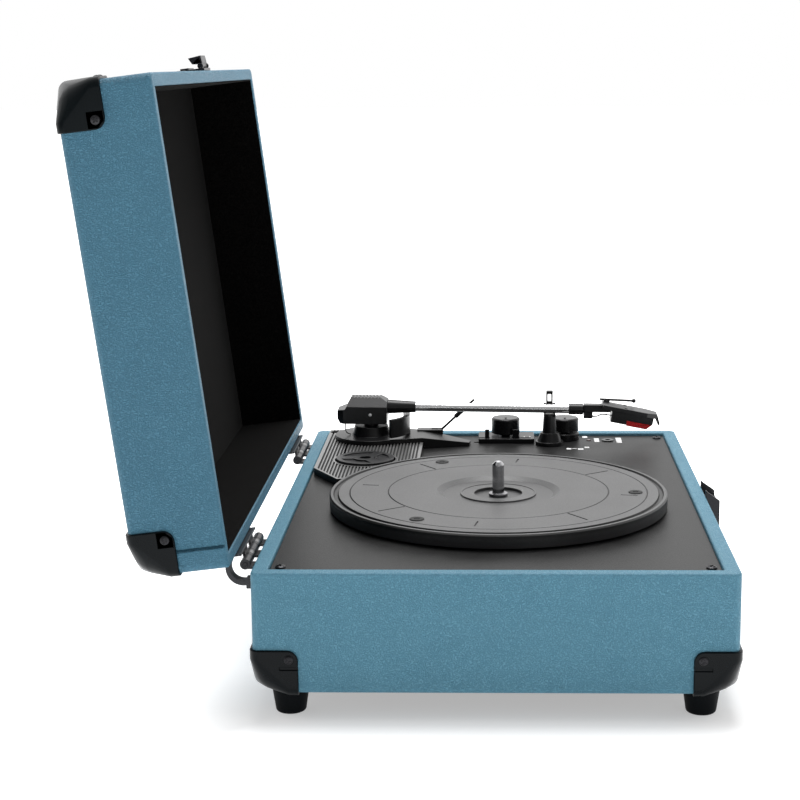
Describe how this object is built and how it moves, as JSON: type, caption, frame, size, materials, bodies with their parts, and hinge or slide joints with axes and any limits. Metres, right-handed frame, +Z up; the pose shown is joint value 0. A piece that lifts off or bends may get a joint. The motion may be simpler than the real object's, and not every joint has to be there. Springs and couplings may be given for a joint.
{
  "type": "turntable record player",
  "caption": "Belt-drive record player built into a suitcase case with a hinged lid, straight tonearm with cue lift, front speakers and carrying handle.",
  "frame": {"origin": "centre of the four feet, on the surface that the player stands on", "axes": "+X to the user's right, +Y to the hinged back, +Z up along the spindle"},
  "size_m": [0.36, 0.3569, 0.3451],
  "materials": {
    "leatherette": "embossed teal leatherette over board",
    "flock": "black flock",
    "guard_plastic": "moulded satin black",
    "deck_vinyl": "fine-grained black vinyl",
    "hardboard": "black painted hardboard",
    "foot_rubber": "matt black rubber",
    "screw_steel": "black oxide",
    "ribbed_plastic": "satin grey-black",
    "hinge_metal": "black enamel",
    "pin_steel": "polished",
    "handle_vinyl": "soft black vinyl",
    "speaker_frame": "black frame, paper cone",
    "grille_plastic": "moulded slots",
    "case_plastic": "moulded black",
    "board": "solder resist",
    "motor_can": "plated can",
    "brass": "turned",
    "bearing_steel": "turned",
    "belt_rubber": "matt",
    "platter_plastic": "fine satin texture",
    "pad_rubber": "matt",
    "adapter_plastic": "satin black",
    "knob_plastic": "semi-gloss black",
    "jack_metal": "blackened",
    "lamp_lens": "clear red",
    "arm_plastic": "satin black",
    "arm_chrome": "polished tube",
    "stylus_red": "translucent red"
  },
  "bodies": {
    "base": {"base_case": "leatherette", "bottom_panel": "hardboard", "deck_panel": "deck_vinyl", "feet": "foot_rubber", "foot_screws": "screw_steel", "base_corners": "guard_plastic", "base_corner_screws": "screw_steel", "deck_screws": "screw_steel", "ribbed_panel": "ribbed_plastic", "hinge_base_leaves": "hinge_metal", "hinge_pins": "pin_steel", "latch_catch": "hinge_metal", "handle_brackets": "hinge_metal", "speaker_left": "speaker_frame", "speaker_right": "speaker_frame", "speaker_grilles": "grille_plastic", "jack_plate": "case_plastic", "control_board": "board", "motor": "motor_can", "drive_belt": "belt_rubber", "platter_bearing": "bearing_steel", "spindle": "pin_steel", "spindle_clip": "bearing_steel", "console": "case_plastic", "knob_collars": "knob_plastic", "headphone_jack": "jack_metal", "power_lamp": "lamp_lens", "arm_base": "case_plastic", "rest_post": "case_plastic", "cue_box": "case_plastic"},
    "lid": {"lid_case": "leatherette", "lid_lining": "flock", "lid_corners": "guard_plastic", "lid_corner_screws": "screw_steel", "hinge_lid_leaves": "hinge_metal", "hasp_plate": "hinge_metal"},
    "hasp": {"hasp": "hinge_metal"},
    "latch_button": {"latch_button": "pin_steel"},
    "handle": {"handle": "handle_vinyl"},
    "platter": {"platter": "platter_plastic", "platter_pads": "pad_rubber"},
    "motor_pulley": {"motor_pulley": "brass"},
    "adapter": {"adapter_45": "adapter_plastic"},
    "speed_switch": {"speed_switch": "knob_plastic"},
    "stop_switch": {"stop_switch": "knob_plastic"},
    "volume_knob": {"volume_knob": "knob_plastic"},
    "tone_knob": {"tone_knob": "knob_plastic"},
    "arm_yoke": {"arm_yoke": "case_plastic"},
    "tonearm": {"arm_housing": "arm_plastic", "arm_tube": "arm_chrome", "headshell": "arm_plastic", "cartridge": "arm_plastic", "stylus": "stylus_red", "finger_lift": "arm_plastic"},
    "rest_clip": {"rest_clip": "case_plastic"},
    "cue_lever": {"cue_lever": "case_plastic"},
    "cue_platform": {"cue_platform": "case_plastic"}
  },
  "joints": [
    {"name": "lid_hinge", "type": "hinge", "parent": "base", "child": "lid", "pos_m": [0, 0.1336, 0.0778], "axis": [1, 0, 0], "range_deg": [0, 97]},
    {"name": "hasp_hinge", "type": "hinge", "parent": "lid", "child": "hasp", "pos_m": [0, 0.17252, 0.339], "axis": [1, 0, 0], "range_deg": [0, 90]},
    {"name": "latch_button_press", "type": "slide", "parent": "base", "child": "latch_button", "axis": [0, 1, 0], "range_m": [0, 0.0015], "stiffness_N_per_m": 300, "springref_m": -0.0005},
    {"name": "handle_hinge", "type": "hinge", "parent": "base", "child": "handle", "pos_m": [0, -0.1331, 0.051], "axis": [-1, 0, 0], "range_deg": [0, 95]},
    {"name": "platter_spin", "type": "hinge", "parent": "base", "child": "platter", "pos_m": [-0.0275, -0.0016, 0.081], "axis": [0, 0, 1], "continuous": true},
    {"name": "pulley_spin", "type": "hinge", "parent": "base", "child": "motor_pulley", "pos_m": [-0.1, -0.03541, 0.081], "axis": [0, 0, 1], "continuous": true},
    {"name": "adapter_lift", "type": "slide", "parent": "base", "child": "adapter", "axis": [0, 0, -1], "range_m": [-0.04, 0]},
    {"name": "speed_switch_slide", "type": "slide", "parent": "base", "child": "speed_switch", "axis": [0, -1, 0], "range_m": [0, 0.0075]},
    {"name": "stop_switch_slide", "type": "slide", "parent": "base", "child": "stop_switch", "axis": [0, 1, 0], "range_m": [0, 0.006]},
    {"name": "volume_turn", "type": "hinge", "parent": "base", "child": "volume_knob", "pos_m": [0.1585, -0.007, 0.081], "axis": [0, 0, -1], "range_deg": [0, 280]},
    {"name": "tone_turn", "type": "hinge", "parent": "base", "child": "tone_knob", "pos_m": [0.1584, -0.0485, 0.081], "axis": [0, 0, -1], "range_deg": [0, 280]},
    {"name": "arm_swing", "type": "hinge", "parent": "base", "child": "arm_yoke", "pos_m": [0.1405, 0.0865, 0.102], "axis": [0, 0, -1], "range_deg": [0, 48]},
    {"name": "arm_lift", "type": "hinge", "parent": "arm_yoke", "child": "tonearm", "pos_m": [0.1405, 0.0865, 0.102], "axis": [1, 0, 0], "range_deg": [-4, 0]},
    {"name": "rest_clip_hinge", "type": "hinge", "parent": "base", "child": "rest_clip", "pos_m": [0.1451, -0.0374, 0.10636], "axis": [0, -1, 0], "range_deg": [0, 90]},
    {"name": "cue_lever_hinge", "type": "hinge", "parent": "base", "child": "cue_lever", "pos_m": [0.153, 0.04, 0.0852], "axis": [1, 0, 0], "range_deg": [-30, 0]},
    {"name": "cue_platform_slide", "type": "slide", "parent": "base", "child": "cue_platform", "axis": [0, 0, 1], "range_m": [0, 0.002]}
  ],
  "couplings": [
    {"joint": "pulley_spin", "follows": "platter_spin", "ratio": 10},
    {"joint": "cue_lever_hinge", "follows": "arm_lift", "ratio": 7.5},
    {"joint": "cue_platform_slide", "follows": "arm_lift", "m_per_rad": -0.028648}
  ]
}
